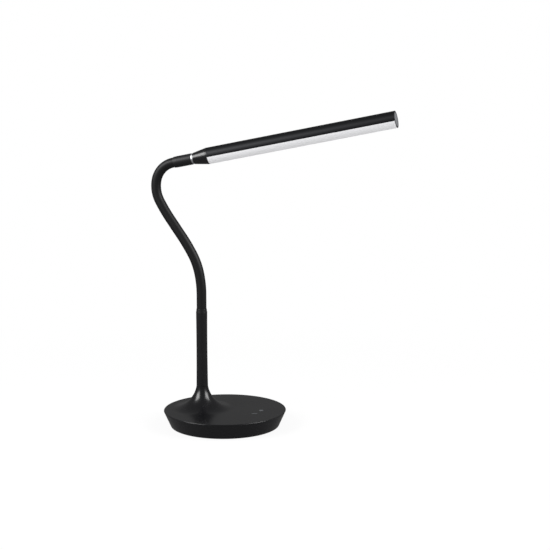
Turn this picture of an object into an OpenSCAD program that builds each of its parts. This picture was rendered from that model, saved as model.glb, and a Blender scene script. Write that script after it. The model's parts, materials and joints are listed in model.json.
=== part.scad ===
// Gooseneck LED desk lamp: a weighted round base, a short stem, a wound gooseneck
// in a silicone sleeve, and a slim round light bar that is half housing, half diffuser.
// Origin: centre of the base on the surface it stands on. +X is the way the light bar
// reaches, +Z is up, and the gooseneck lies in the XZ plane. Millimetres.

/* [Base] */
// Largest radius of the base, at its top rim
base_r = 75; // [72:1:95]
// Radius of the base where its side meets the underside
base_foot_r = 67; // [66:0.5:70]
// Height of the base's flat top above the table
base_h = 20; // [19:0.2:24]
// Wall of the moulded base cover
base_wall = 2.2; // [1.8:0.1:2.6]
// Rounding of the top rim
rim_round = 0.7; // [0.5:0.1:1.4]
// Rounding of the lower edge
foot_round = 1.2; // [0.8:0.1:2]
// How high the cover's lower edge stands above the table
foot_lift = 0.5; // [0.5:0.1:0.9]
// Thickness of the bottom plate
plate_t = 2.0; // [1.6:0.1:2.4]
// Thickness of the foot pad
pad_t = 1.2; // [1.2:0.1:1.5]
// Gap in radius between the foot pad and the edge of the bottom plate
pad_margin = 1.6; // [1:0.1:4]
// Radius of the steel weight
weight_r = 60; // [58:0.5:61]
// Thickness of the steel weight
weight_t = 8; // [7.5:0.1:8.6]
// Distance of each plate screw from the centre
screw_circle_r = 48; // [44:0.5:50]
// Number of plate screws
screw_count = 4; // [4]

/* [Flare and stem] */
// Distance of the stem's axis behind the centre of the base
stem_back = 29.3; // [26:0.1:32]
// Height of the seam where the stem meets the flare, above the flat top
flare_h = 27.85; // [26:0.05:30]
// Radius of the flare's concave curve
flare_curve_r = 32.5; // [31:0.5:35]
// Radius of the stem at the seam
stem_foot_r = 7.1; // [7:0.05:7.4]
// Radius of the stem at its top
stem_top_r = 6.9; // [6.8:0.05:7.2]
// How much narrower the stem's radius is half-way up, against a straight taper
stem_waist = 0.3; // [0:0.05:0.4]
// Length of the stem above the seam
stem_l = 96.2; // [80:0.1:120]
// Rounding of the stem's top edge
stem_round = 0.5; // [0.2:0.05:0.5]
// Bore of the stem, as a radius
stem_bore_r = 5.0; // [4.9:0.05:5.1]
// Bore of the hollow stud, as a radius
stud_bore_r = 3.2; // [3:0.05:3.5]
// How far the stud screws up into the stem
stud_grip = 14; // [10:0.5:20]
// Radius of the boss that the stem stands on
boss_r = 8.6; // [8:0.1:9.5]
// Width across the flats of the stem nut
nut_af = 17; // [16:0.5:18]
// Thickness of the stem nut
nut_t = 4; // [3.5:0.1:4]
// Thickness of the washer over the nut
washer_t = 1; // [0.8:0.1:1]

/* [Gooseneck] */
// Radius of the silicone sleeve
sleeve_r = 6.0; // [5.95:0.01:6.05]
// Bore of the silicone sleeve, as a radius
sleeve_bore_r = 4.2; // [4.15:0.01:4.25]
// Length of the straight stretch above the stem, up to the first place that flexes
first_link_l = 17.65; // [16:0.05:20]
// Length of the neck between one place that flexes and the next
link_l = 25.5; // [25:0.1:27]
// How far each such length bends at rest, from the lowest up; positive leans back
link_bends = [11.4, 17.2, 6.6, 0, -7.2, -38.2, -53.2];
// Upward slope of the light bar
bar_tilt = 11.3; // [5:0.1:15]
// Length of the last bend, below the light bar
last_link_l = 8; // [7:0.5:12]
// Straight run between the last bend and the ferrule
neck_run_out = 4.6; // [3:0.1:6]
// Running gap in each ball-shaped sleeve end
ball_gap = 0.2; // [0.15:0.01:0.25]
// Largest tilt at a flexing place
flex_tilt = 25; // [15:1:25]
// Radius of the round spring wire
wire_r = 1.1; // [1:0.01:1.1]
// Radius from the neck's centre to the middle of the round wire
coil_r = 3.0; // [2.9:0.01:3]
// Pitch of the wound core
coil_pitch = 2.7; // [2.6:0.05:3]
// Radius of the two-core lead
lead_r = 1.2; // [1:0.05:1.2]

/* [Light bar] */
// Radius of the black ferrule
ferrule_r = 6.85; // [6.6:0.05:7]
// Length of the black ferrule
ferrule_l = 20.1; // [18.5:0.1:22]
// Radius of the chrome ring
ring_r = 6.5; // [5.8:0.05:6.6]
// Length of the chrome ring
ring_l = 2.35; // [2:0.05:4]
// Radius of the nose cone beside the chrome ring
nose_r = 6.9; // [6.2:0.05:7]
// Length of the nose cone
nose_l = 18.8; // [18:0.1:24]
// Radius of the round light bar
bar_r = 10; // [9.8:0.05:11]
// Length of the housing and diffuser
bar_l = 231.6; // [160:0.1:300]
// Thickness of the silver end cap
cap_t = 0.4; // [0.3:0.1:2]
// Wall of the aluminium housing
housing_wall = 1.8; // [1.5:0.1:2]
// Thickness of the web that carries the light-emitting diodes
web_t = 1.8; // [1.6:0.1:2]
// How far the parting line lies below the bar's axis
split_drop = 1.4; // [0.6:0.1:1.8]
// Wall of the diffuser
diffuser_wall = 1.4; // [1.2:0.1:1.6]
// Width of the light-emitting diode board
led_board_w = 13; // [11:0.5:13.5]
// Thickness of the light-emitting diode board
led_board_t = 1.0; // [0.8:0.1:1.2]
// Pitch of the light-emitting diodes
led_pitch = 6; // [4:0.1:10]

/* [Touch controls and inlet] */
// Place of the round touch mark
touch_dot = [45, 5.2];
// Place of the long touch mark
touch_dash = [41.4, -11.2];
// Radius of the round touch mark
dot_r = 2.6; // [2:0.1:3]
// Length of the long touch mark
dash_l = 7.4; // [5:0.1:8]
// Width of the long touch mark
dash_w = 1.9; // [1.4:0.1:2.4]
// Direction of the long touch mark, turned from +X towards +Y
dash_turn = 30; // [0:5:90]
// Width of the round touch mark's printed line
mark_w = 0.9; // [0.6:0.05:1.1]
// Depth of both marks in the cover
mark_t = 0.2; // [0.1:0.05:0.4]
// Radius of the touch pads under the marks
touch_pad_r = 4; // [3:0.1:5]
// Radius of the round inlet socket's hole
inlet_bore_r = 2.8; // [2.75:0.01:3]
// Radius of the inlet's contact pin
inlet_pin_r = 1.0; // [0.95:0.01:1.05]
// Radius of the inlet's round nose
inlet_nose_r = 4.0; // [3.8:0.1:4.2]

/* [Fits] */
// Gap between parts that slide together
slip = 0.05; // [0.03:0.01:0.08]
// Gap round a loose insert
loose = 0.1; // [0.06:0.01:0.15]

/* [Hidden] */
$fn = 64;
tiny = 0.01;
deg_to_mm = PI / 180;

cover_colour = "#1d1e20";
stem_colour = "#232427";
sleeve_colour = "#1a1a1b";
steel_colour = "#9a9ca0";
brass_colour = "#b89a4a";
chrome_colour = "#d9dadc";
housing_colour = "#2b2b2f";
diffuser_colour = "#f2f2f0";
board_colour = "#1f5a3a";
led_colour = "#f4e6a0";
rubber_colour = "#303030";
lead_colour = "#e8e8e8";
mark_colour = "#77797c";

// Heights in the base, from the table up
plate_z = foot_lift;
plate_top = plate_z + plate_t;
weight_top = plate_top + weight_t;
cover_in_z = base_h - base_wall;
seam_z = base_h + flare_h;
stem_top_z = seam_z + stem_l;
stem_x = -stem_back;

// Side of the base: the rim's and the foot's roundings, and the line that touches both
rim_c = [base_r - rim_round, base_h - rim_round];
foot_c = [base_foot_r - foot_round, foot_lift + foot_round];
side_run = rim_c - foot_c;
side_dir = atan2(side_run[1], side_run[0]);
side_normal = side_dir - acos((foot_round - rim_round) / norm(side_run));
function out(dir, r) = r * [cos(dir), sin(dir)];
// Radius of the inside of the sloping wall at height z
function cover_in_r(z) =
    foot_c[0] + (foot_round - base_wall) / cos(side_normal)
    - (z - foot_c[1]) * tan(side_normal);
plate_r = cover_in_r(plate_z) - loose;
pad_r = plate_r - pad_margin;

// Flare: its curve sinks a hair into the flat top, so that the two meet in an edge
flare_sink = 0.05;
flare_c_z = base_h + flare_curve_r - flare_sink;
flare_c_r = stem_foot_r + sqrt(pow(flare_curve_r, 2) - pow(flare_c_z - seam_z, 2));
flare_core_r = flare_curve_r + base_wall + 0.4;
rib_t = 1.6;
rib_drop = 2.2;
rib_count = 4;

// Screws and posts in the base
plate_screw_r = 1.5;
plate_head_r = 3;
plate_screw_top = base_h - base_wall - 1;
screw_boss_r = 3.8;
board_t = 1.6;
board_gap = 1.9;
board_z = cover_in_z - board_gap - board_t;
board_size = [24, 42];
board_c = (touch_dot + touch_dash) / 2;
post_span = 17;
post_r = 2.6;
board_screw_r = 1.0;
board_head_r = 1.9;
board_head_t = 1.2;

// Stem fixing
stud_r = stem_bore_r - slip;
stud_hole_r = stem_bore_r + loose;
nut_recess_r = nut_af / 2 / cos(30) + 1.2;
washer_z = plate_top + nut_t;
seat_z = washer_z + washer_t;
stud_z = plate_top + 0.2;
window_w = 3;
window_z = weight_top + 1;
window_h = 7;
lead_turn_r = 4;
stem_steps = 10;
lead_floor_z = board_z + board_t / 2;

// Inlet
inlet_z = 8.4;
inlet_box = [14, 9, cover_in_z - plate_top - 1.9];
supply_z = cover_in_z - rib_drop - lead_r - loose;
inlet_front = -(cover_in_r(plate_top) - 1.4);
inlet_nose_x = -(cover_in_r(inlet_z) + base_wall * 0.6);
inlet_depth = 9.5;
notch_gap = 3;

// Gooseneck: runs of [length, bend in degrees], from the stem's top to the bar's end
flex_count = len(link_bends) + 1;
function total(v, i = 0) = i == len(v) ? 0 : v[i] + total(v, i + 1);
last_bend = bar_tilt - 90 - total(link_bends);
sleeve_inset = 4;
bush_l = 12;
bar_run = neck_run_out + ferrule_l + ring_l + nose_l + bar_l + cap_t;
RUNS = concat(
    [[first_link_l, 0]],
    [for (bend = link_bends) [link_l, bend]],
    [[last_link_l, last_bend], [bar_run, 0]]
);

// A pose on the centre line is [x, z, heading], with the heading in degrees from +X
function step(p, l, turn) =
    turn == 0
    ? [p[0] + l * cos(p[2]), p[1] + l * sin(p[2]), p[2]]
    : let (r = l / (turn * deg_to_mm), h = p[2] + turn)
        [p[0] + r * (sin(h) - sin(p[2])), p[1] - r * (cos(h) - cos(p[2])), h];
function run_from(i) = i == 0 ? 0 : run_from(i - 1) + RUNS[i - 1][0];
function run_pose(i) =
    i == 0 ? [stem_x, stem_top_z, 90] : step(run_pose(i - 1), RUNS[i - 1][0], RUNS[i - 1][1]);
function run_at(s, i = 0) =
    i == len(RUNS) - 1 || s < run_from(i) + RUNS[i][0] ? i : run_at(s, i + 1);
function pose_at(s) =
    let (i = run_at(s), part = (s - run_from(i)) / RUNS[i][0])
        step(run_pose(i), part * RUNS[i][0], part * RUNS[i][1]);

// Places along the centre line: where it flexes, and where each piece starts
function flex_s(k) = run_from(k);
bend_end_s = run_from(flex_count + 1);
neck_l = bend_end_s + neck_run_out;
ring_s = neck_l + ferrule_l;
nose_s = ring_s + ring_l;
bar_s = nose_s + nose_l;
lead_stop = 7;
lead_end_s = bar_s - lead_stop;

// Wound core: turns of round wire, with a triangular wire in the groove between them
ball_cup_r = sleeve_r + ball_gap;
core_clear = sqrt(pow(ball_cup_r + wire_r + ball_gap, 2) - pow(coil_r, 2));
nose_half_angle = flex_tilt + asin(lead_r / sleeve_bore_r) + 2;
wrap_half_angle = 35;
wrap_top_r = coil_r + wire_r;
wrap_foot_r = coil_r + 0.4;
lead_gap = 0.8;
bush_floor = 1.2;
bush_thread_r = 4.0;

// Light bar section: x across, y up, measured from the bar's axis
bar_in_r = bar_r - housing_wall;
web_y = -split_drop;
web_top = web_y + web_t;
port = [5.4, web_top + 1.9];
port_r = 2.1;
peg_r = 1.2;
peg_l = 6;
clip_x = bar_in_r - 0.8;
clip_w = 0.8;
clip_h = 1.1;
tongue = [5.4, 1.8, 8];
tongue_screw_t = 4;
nose_screw_r = 1.1;
board_start = 16;
board_end_gap = 2;
led = [2.8, 0.7, 3.5];
led_count = floor((bar_l - board_start - board_end_gap - led[2]) / led_pitch);
wire_slot_t = 12.3;
nose_thread_l = nose_l / 2;
nose_hollow_r = bar_in_r - 0.6;
bridge_l = 3;
bridge_step = 0.1;
pair_r = 0.55;
bend_ball = 1.1;
pair_x = 0.7;
pair_y = web_top + tongue[1] + 1.2;
pair_low_y = web_y - bend_ball * pair_r - slip;
pair_straight = 0.9;

SEGMENTS = [for (k = [0:flex_count]) k];

// ---------------------------------------------------------------- placing

// Puts its children at arc length s, with their +Z along the centre line
module along(s) {
    p = pose_at(s);
    translate([p[0], 0, p[1]]) rotate([0, 90 - p[2], 0]) children();
}

// Sweeps a flat section back from here, down -Z, by length l with the given bend
module sweep_back(l, bend) {
    r = l / (abs(bend) * deg_to_mm);
    if (bend == 0) translate([0, 0, -l]) linear_extrude(l) children();
    else rotate([0, 0, bend > 0 ? 0 : 180]) translate([-r, 0, 0]) rotate([-90, 0, 0])
        rotate_extrude(angle = abs(bend)) translate([r, 0]) children();
}

// Light bar frame: x across, y up from the bar, z along it from the nose cone's end
module bar_frame() {
    along(bar_s) rotate([0, 0, 90]) children();
}

module at_stem() {
    translate([stem_x, 0, 0]) children();
}

module at_screws() {
    for (k = [0:screw_count - 1])
        rotate([0, 0, (k + 0.5) * 360 / screw_count]) translate([screw_circle_r, 0, 0]) children();
}

module at_posts() {
    for (side = [-1, 1]) translate([board_c[0], board_c[1] + side * post_span, 0]) children();
}

module ring_section(r_out, r_in) {
    difference() {
        circle(r_out);
        circle(r_in);
    }
}

module tube(r_out, r_in, z0, z1) {
    translate([0, 0, z0]) linear_extrude(z1 - z0) ring_section(r_out, r_in);
}

// A straight bar with round ends, of length l and width w
module slot(l, w) {
    square([l - w, w], center = true);
    for (side = [-1, 1]) translate([side * (l - w) / 2, 0]) circle(w / 2);
}

// A round wire through a list of points, with a slightly fatter ball at each bend
module wire(points, r) {
    for (i = [0:len(points) - 2]) {
        v = points[i + 1] - points[i];
        translate(points[i]) rotate([0, acos(v[2] / norm(v)), atan2(v[1], v[0])])
            cylinder(r = r, h = norm(v));
        if (i > 0) translate(points[i]) sphere(bend_ball * r);
    }
}

// ---------------------------------------------------------------- base

// Outline of the base in section: rounded rim, sloping side, rounded foot
module base_outline() {
    polygon([
        [0, foot_lift],
        [foot_c[0], foot_lift],
        foot_c + out(side_normal, foot_round),
        rim_c + out(side_normal, rim_round),
        [rim_c[0], base_h],
        [0, base_h]
    ]);
    translate(foot_c) circle(foot_round);
    translate(rim_c) circle(rim_round);
}

// Region under a concave curve of radius r, from height z0 to z1
module flare_outline(r, z0, z1) {
    difference() {
        translate([0, z0]) square([flare_c_r, z1 - z0]);
        translate([flare_c_r, flare_c_z]) circle(r, $fn = 128);
    }
}

// Hollow of the cover, left clear for the weight, the board and the inlet
module base_hollow() {
    difference() {
        union() {
            rotate_extrude() polygon([
                [0, foot_lift - 1],
                [cover_in_r(foot_lift - 1), foot_lift - 1],
                [cover_in_r(cover_in_z), cover_in_z],
                [0, cover_in_z]
            ]);
            at_stem() rotate_extrude()
                flare_outline(flare_core_r, cover_in_z - 1, seam_z - base_wall);
        }
        at_stem() translate([0, 0, weight_top]) cylinder(r = boss_r, h = seam_z);
        at_stem() for (k = [0:rib_count - 1]) rotate([0, 0, (k + 0.5) * 360 / rib_count])
            translate([0, -rib_t / 2, cover_in_z - rib_drop]) cube([flare_c_r, rib_t, seam_z]);
        at_screws() translate([0, 0, weight_top]) cylinder(r = screw_boss_r, h = base_h);
        at_posts() translate([0, 0, board_z + board_t]) cylinder(r = post_r, h = base_h);
    }
}

module base_cover() {
    color(cover_colour) difference() {
        union() {
            rotate_extrude($fn = 180) base_outline();
            at_stem() rotate_extrude($fn = 96) flare_outline(flare_curve_r, base_h - 1, seam_z);
        }
        base_hollow();
        at_stem() translate([0, 0, weight_top - 1]) cylinder(r = stud_hole_r, h = seam_z);
        at_stem() lead_window(boss_r + 1);
        at_screws() translate([0, 0, weight_top - 1])
            cylinder(r = plate_screw_r + slip, h = plate_screw_top + 0.4 - weight_top + 1);
        at_posts() translate([0, 0, board_z])
            cylinder(r = board_screw_r + slip, h = base_h - base_wall / 2 - board_z + tiny);
        translate([-base_r, 0, inlet_z]) rotate([0, 90, 0])
            cylinder(r = inlet_nose_r + loose, h = base_r + inlet_front);
        touch_shapes(slip);
    }
}

// Side window through which the lead leaves the stud and the boss
module lead_window(reach) {
    translate([0, -window_w / 2, window_z]) cube([reach, window_w, window_h]);
}

module bottom_plate() {
    color(cover_colour) difference() {
        translate([0, 0, plate_z]) cylinder(r = plate_r, h = plate_t);
        cylinder(r = pad_r + loose, h = pad_t);
        at_screws() plate_screw(loose);
    }
}

module foot_pad() {
    color(rubber_colour) cylinder(r = pad_r, h = pad_t);
}

// Countersunk screw that holds the plate and the weight to the cover
module plate_screw(gap) {
    cone_h = plate_head_r - plate_screw_r;
    translate([0, 0, pad_t]) {
        cylinder(r1 = plate_head_r + gap, r2 = plate_screw_r + gap, h = cone_h);
        cylinder(r = plate_screw_r + gap, h = plate_screw_top - pad_t);
    }
}

module plate_screws() {
    color(steel_colour) at_screws() plate_screw(0);
}

module base_weight() {
    notch_x = inlet_front + inlet_box[0] + notch_gap;
    notch_y = inlet_box[1] + 2 * notch_gap;
    color(steel_colour) translate([0, 0, plate_top]) difference() {
        cylinder(r = weight_r, h = weight_t);
        translate([-base_r, -notch_y / 2, -1]) cube([base_r + notch_x, notch_y, weight_t + 2]);
        at_screws() translate([0, 0, -1]) cylinder(r = plate_screw_r + loose, h = weight_t + 2);
        at_stem() translate([0, 0, -1]) cylinder(r = nut_recess_r, h = seat_z - plate_top + 1);
        at_stem() translate([0, 0, -1]) cylinder(r = stud_hole_r, h = weight_t + 2);
    }
}

// ---------------------------------------------------------------- touch controls

module touch_shapes(gap) {
    translate([0, 0, base_h - mark_t - gap]) {
        translate([touch_dot[0], touch_dot[1], 0])
            linear_extrude(mark_t + 2 * gap) ring_section(dot_r + gap, dot_r - mark_w - gap);
        translate([touch_dash[0], touch_dash[1], 0]) rotate([0, 0, dash_turn])
            linear_extrude(mark_t + 2 * gap) slot(dash_l + 2 * gap, dash_w + 2 * gap);
    }
}

module touch_marks() {
    color(mark_colour) touch_shapes(0);
}

module touch_board() {
    color(board_colour) translate([0, 0, board_z]) difference() {
        translate([board_c[0] - board_size[0] / 2, board_c[1] - board_size[1] / 2, 0])
            cube([board_size[0], board_size[1], board_t]);
        at_posts() translate([0, 0, -1]) cylinder(r = board_screw_r + loose, h = board_t + 2);
    }
}

module touch_pads() {
    color(steel_colour) for (p = [touch_dot, touch_dash])
        translate([p[0], p[1], board_z + board_t]) cylinder(r = touch_pad_r, h = board_gap);
}

module board_screws() {
    color(steel_colour) at_posts() {
        translate([0, 0, board_z - board_head_t]) cylinder(r = board_head_r, h = board_head_t);
        translate([0, 0, board_z]) cylinder(r = board_screw_r, h = base_h - base_wall / 2 - board_z);
    }
}

// ---------------------------------------------------------------- inlet

module inlet_housing() {
    color(cover_colour) difference() {
        union() {
            translate([inlet_front, -inlet_box[1] / 2, plate_top]) cube(inlet_box);
            translate([inlet_nose_x, 0, inlet_z]) rotate([0, 90, 0])
                cylinder(r = inlet_nose_r, h = inlet_front - inlet_nose_x + 1);
        }
        translate([inlet_nose_x - 1, 0, inlet_z]) rotate([0, 90, 0])
            cylinder(r = inlet_bore_r, h = inlet_depth + 1);
    }
}

module inlet_pin() {
    color(brass_colour) translate([inlet_nose_x + 1, 0, inlet_z]) rotate([0, 90, 0])
        cylinder(r = inlet_pin_r, h = inlet_depth - 1);
}

// Lead from the inlet's side, past the stem's boss, to the edge of the touch board
module supply_lead() {
    start = [inlet_front + inlet_box[0] / 2, inlet_box[1] / 2, supply_z];
    run_y = boss_r + 2 * lead_r;
    end_x = board_c[0] - board_size[0] / 2;
    color(lead_colour) {
        translate(start) rotate([-90, 0, 0])
            cylinder(r = lead_r, h = run_y - lead_turn_r - start[1]);
        translate([start[0] + lead_turn_r, run_y - lead_turn_r, supply_z]) rotate([0, 0, 90])
            rotate_extrude(angle = 90) translate([lead_turn_r, 0]) circle(lead_r);
        translate([start[0] + lead_turn_r, run_y, supply_z]) rotate([0, 90, 0])
            cylinder(r = lead_r, h = end_x - start[0] - lead_turn_r);
    }
}

// ---------------------------------------------------------------- stem

// Point on the stem's slightly waisted side, a share t of the way up to its rounded edge
function stem_point(t) = [
    stem_foot_r + (stem_top_r - stem_foot_r) * t - 4 * stem_waist * t * (1 - t),
    seam_z + (stem_l - stem_round) * t
];

module stem_outline() {
    shoulder = [stem_top_r - stem_round, stem_top_z - stem_round];
    difference() {
        union() {
            polygon(concat(
                [[0, stem_top_z], [0, seam_z]],
                [for (i = [0:stem_steps]) stem_point(i / stem_steps)],
                [shoulder, [shoulder[0], stem_top_z]]
            ));
            translate(shoulder) circle(stem_round);
        }
        translate([-1, seam_z - 1]) square([stem_bore_r + 1, stem_l + 2]);
        translate([-1, stem_top_z - sleeve_inset]) square([sleeve_r + loose + 1, sleeve_inset + 1]);
    }
}

module stem_tube() {
    color(stem_colour) at_stem() rotate_extrude() stem_outline();
}

module stem_stud() {
    color(steel_colour) at_stem() difference() {
        tube(stud_r, stud_bore_r, stud_z, seam_z + stud_grip);
        lead_window(stud_r + 1);
    }
}

module stem_washer() {
    color(steel_colour) at_stem() tube(nut_recess_r - 0.6, stud_hole_r, washer_z, seat_z);
}

module stem_nut() {
    color(steel_colour) at_stem() translate([0, 0, plate_top]) difference() {
        cylinder(r = nut_af / 2 / cos(30), h = nut_t, $fn = 6);
        translate([0, 0, -1]) cylinder(r = stud_r + slip, h = nut_t + 2);
    }
}

// ---------------------------------------------------------------- gooseneck

// Round end of a sleeve segment, open at its nose so that the lead can swing inside
module ball_end() {
    reach = sleeve_r + 1;
    rotate_extrude() difference() {
        ring_section(sleeve_r, sleeve_bore_r);
        translate([-reach, -reach]) square([reach, 2 * reach]);
        translate([-reach, -reach]) square([2 * reach, reach]);
        polygon([[0, 0], [reach * tan(nose_half_angle), reach], [0, reach]]);
    }
}

// Sleeve segment k runs from one flexing place to the next, and starts with a cup
module neck_sleeve(k) {
    color(sleeve_colour) difference() {
        if (k == flex_count) along(bend_end_s) {
            sweep_back(last_link_l, last_bend) ring_section(sleeve_r, sleeve_bore_r);
            tube(sleeve_r, sleeve_bore_r, 0, neck_run_out + sleeve_inset);
        }
        else along(flex_s(k + 1)) {
            sweep_back(RUNS[k][0] + (k == 0 ? sleeve_inset : 0), RUNS[k][1])
                ring_section(sleeve_r, sleeve_bore_r);
            ball_end();
        }
        if (k > 0) along(flex_s(k)) sphere(ball_cup_r, $fn = 48);
    }
}

// Wound core of segment k: turns of round wire and the triangular wire between them
module neck_core(k) {
    from = k == 0 ? -sleeve_inset - bush_l + wire_r : flex_s(k) + core_clear;
    to = k == flex_count
        ? neck_l + sleeve_inset + bush_l - bush_floor - wire_r
        : flex_s(k + 1);
    turns = floor((to - from) / coil_pitch);
    pitch = (to - from) / turns;
    color(steel_colour) for (i = [0:turns]) {
        along(from + i * pitch) rotate_extrude() translate([coil_r, 0]) circle(wire_r, $fn = 24);
        if (i < turns) along(from + (i + 0.5) * pitch) wrap_ring();
    }
}

module wrap_ring() {
    half_w = (wrap_top_r - wrap_foot_r) * tan(wrap_half_angle);
    rotate_extrude() polygon([[wrap_foot_r, 0], [wrap_top_r, -half_w], [wrap_top_r, half_w]]);
}

// Two-core lead in segment k, with a little slack at each flexing place
module neck_lead(k) {
    color(lead_colour) {
        if (k == 0) root_lead();
        else if (k == flex_count) along(bend_end_s) {
            sweep_back(last_link_l - lead_gap / 2, last_bend * (1 - lead_gap / 2 / last_link_l))
                circle(lead_r);
            cylinder(r = lead_r, h = lead_end_s - bend_end_s);
        }
        else along(flex_s(k + 1) - lead_gap / 2)
            sweep_back(link_l - lead_gap, RUNS[k][1] * (1 - lead_gap / link_l)) circle(lead_r);
    }
}

// The lead in the stem, which turns at the foot and runs to the touch board
module root_lead() {
    turn_z = lead_floor_z + lead_turn_r;
    end_x = board_c[0] - board_size[0] / 2;
    pose = pose_at(flex_s(1) - lead_gap / 2);
    translate([pose[0], 0, turn_z]) {
        cylinder(r = lead_r, h = pose[1] - turn_z);
        translate([lead_turn_r, 0, 0]) rotate([90, 0, 0]) rotate([0, 0, 180])
            rotate_extrude(angle = 90) translate([lead_turn_r, 0]) circle(lead_r);
    }
    translate([stem_x + lead_turn_r, 0, lead_floor_z]) rotate([0, 90, 0])
        cylinder(r = lead_r, h = end_x - stem_x - lead_turn_r);
}

module neck_root_bush() {
    color(brass_colour) along(-sleeve_inset)
        tube(stem_bore_r - slip, wrap_top_r + slip, -bush_l, 0);
}

// Bush on the upper end of the core, with a thread that holds ferrule, ring and cone
module neck_head_bush() {
    thread_l = nose_s + nose_thread_l - neck_l - sleeve_inset;
    color(brass_colour) along(neck_l + sleeve_inset) difference() {
        union() {
            cylinder(r = stem_bore_r - slip, h = bush_l);
            cylinder(r = bush_thread_r, h = thread_l);
        }
        translate([0, 0, -1]) cylinder(r = wrap_top_r + slip, h = bush_l - bush_floor + 1);
        cylinder(r = lead_r + loose, h = thread_l + 1);
    }
}

// ---------------------------------------------------------------- light bar

module head_ferrule() {
    color(stem_colour) along(neck_l) difference() {
        cylinder(r = ferrule_r, h = ferrule_l);
        translate([0, 0, -1]) cylinder(r = sleeve_r + loose, h = sleeve_inset + 1);
        cylinder(r = stem_bore_r, h = sleeve_inset + bush_l);
        cylinder(r = bush_thread_r + slip, h = ferrule_l + 1);
    }
}

module chrome_ring() {
    color(chrome_colour) along(ring_s) tube(ring_r, bush_thread_r + slip, 0, ring_l);
}

// Cone between the neck and the bar, hollow at its wide end, with a bridge across the
// hollow that carries the tongue under the housing's screw
module nose_cone() {
    tongue_y = web_top + slip;
    color(cover_colour) bar_frame() {
        difference() {
            translate([0, 0, -nose_l]) cylinder(r1 = nose_r, r2 = bar_r, h = nose_l);
            translate([0, 0, -nose_l - 1]) cylinder(r = bush_thread_r + slip, h = nose_thread_l + 1.5);
            difference() {
                translate([0, 0, nose_thread_l - nose_l]) cylinder(
                    r1 = bush_thread_r - 1, r2 = nose_hollow_r, h = nose_l - nose_thread_l + tiny
                );
                translate([-bar_r, tongue_y + bridge_step, -bridge_l])
                    cube([2 * bar_r, tongue[1] - 2 * bridge_step, 2 * bridge_l]);
                for (side = [-1, 1]) translate([side * port[0], port[1], -nose_l])
                    cylinder(r = port_r, h = 2 * nose_l);
            }
        }
        difference() {
            translate([-tongue[0] / 2, tongue_y, -bridge_l / 2])
                cube([tongue[0], tongue[1], tongue[2] + bridge_l / 2]);
            translate([0, tongue_y - 1, tongue_screw_t]) rotate([-90, 0, 0])
                cylinder(r = nose_screw_r + slip, h = tongue[1] + 2);
        }
        for (side = [-1, 1]) translate([side * port[0], port[1], -bridge_l / 2])
            cylinder(r = peg_r, h = peg_l + bridge_l / 2);
    }
}

module nose_screw() {
    color(steel_colour) bar_frame() translate([0, 0, tongue_screw_t]) rotate([-90, 0, 0]) {
        translate([0, 0, web_y - 1]) cylinder(r = 2 * nose_screw_r, h = 1);
        translate([0, 0, web_y]) cylinder(r = nose_screw_r, h = web_t + tongue[1]);
    }
}

// Section of the extruded aluminium housing
module housing_section() {
    big = 2 * bar_r + 2;
    difference() {
        union() {
            difference() {
                circle(bar_r, $fn = 96);
                difference() {
                    circle(bar_in_r, $fn = 96);
                    translate([-big / 2, -big]) square([big, big + web_top]);
                }
            }
            for (side = [-1, 1]) translate([side * port[0], port[1]]) circle(port_r);
        }
        translate([-big / 2, -big]) square([big, big + web_y]);
        for (side = [-1, 1]) {
            translate([side * port[0], port[1]]) circle(peg_r + slip);
            translate([side * clip_x - clip_w / 2 - loose, web_y - 1])
                square([clip_w + 2 * loose, clip_h + loose + 1]);
        }
    }
}

module head_housing() {
    color(housing_colour) bar_frame() difference() {
        linear_extrude(bar_l) housing_section();
        translate([0, web_y - 1, tongue_screw_t]) rotate([-90, 0, 0])
            cylinder(r = nose_screw_r + slip, h = web_t + 1.5);
        translate([-2, web_y - 1, wire_slot_t - 1.4]) cube([4, web_t + 1.5, 2.8]);
    }
}

// Section of the half-round diffuser, with the two clips that snap into the housing
module diffuser_section() {
    big = 2 * bar_r + 2;
    top = web_y - slip;
    difference() {
        ring_section(bar_r, bar_r - diffuser_wall);
        translate([-big / 2, top]) square([big, big]);
    }
    for (side = [-1, 1]) {
        translate([side * clip_x - clip_w / 2, top - clip_w]) square([clip_w, clip_w + clip_h]);
        translate([side * (clip_x + clip_w) - clip_w, top - clip_w]) square([2 * clip_w, clip_w]);
    }
}

module diffuser() {
    color(diffuser_colour) bar_frame() linear_extrude(bar_l) diffuser_section();
}

module led_board() {
    color("white") bar_frame() translate([-led_board_w / 2, web_y - led_board_t, board_start])
        cube([led_board_w, led_board_t, bar_l - board_start - board_end_gap]);
}

module leds() {
    first = board_start + (bar_l - board_start - board_end_gap - (led_count - 1) * led_pitch) / 2;
    color(led_colour) bar_frame() for (i = [0:led_count - 1])
        translate([-led[0] / 2, web_y - led_board_t - led[1], first + i * led_pitch - led[2] / 2])
            cube(led);
}

// The lead's two cores, from the cone over the tongue and down to the board
module led_leads() {
    color(lead_colour) bar_frame() for (side = [-1, 1]) wire([
        [side * pair_x, 0, slip - lead_stop],
        [side * pair_x, 0, pair_straight - lead_stop],
        [side * pair_x, pair_y, -bridge_l],
        [side * pair_x, pair_y, wire_slot_t],
        [side * pair_x, pair_low_y, wire_slot_t],
        [side * pair_x, pair_low_y, board_start]
    ], pair_r);
}

module end_cap() {
    color(chrome_colour) bar_frame() {
        translate([0, 0, bar_l]) cylinder(r = bar_r, h = cap_t);
        for (side = [-1, 1]) translate([side * port[0], port[1], bar_l - peg_l])
            cylinder(r = peg_r, h = peg_l + cap_t / 2);
    }
}

// ---------------------------------------------------------------- nodes

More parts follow.
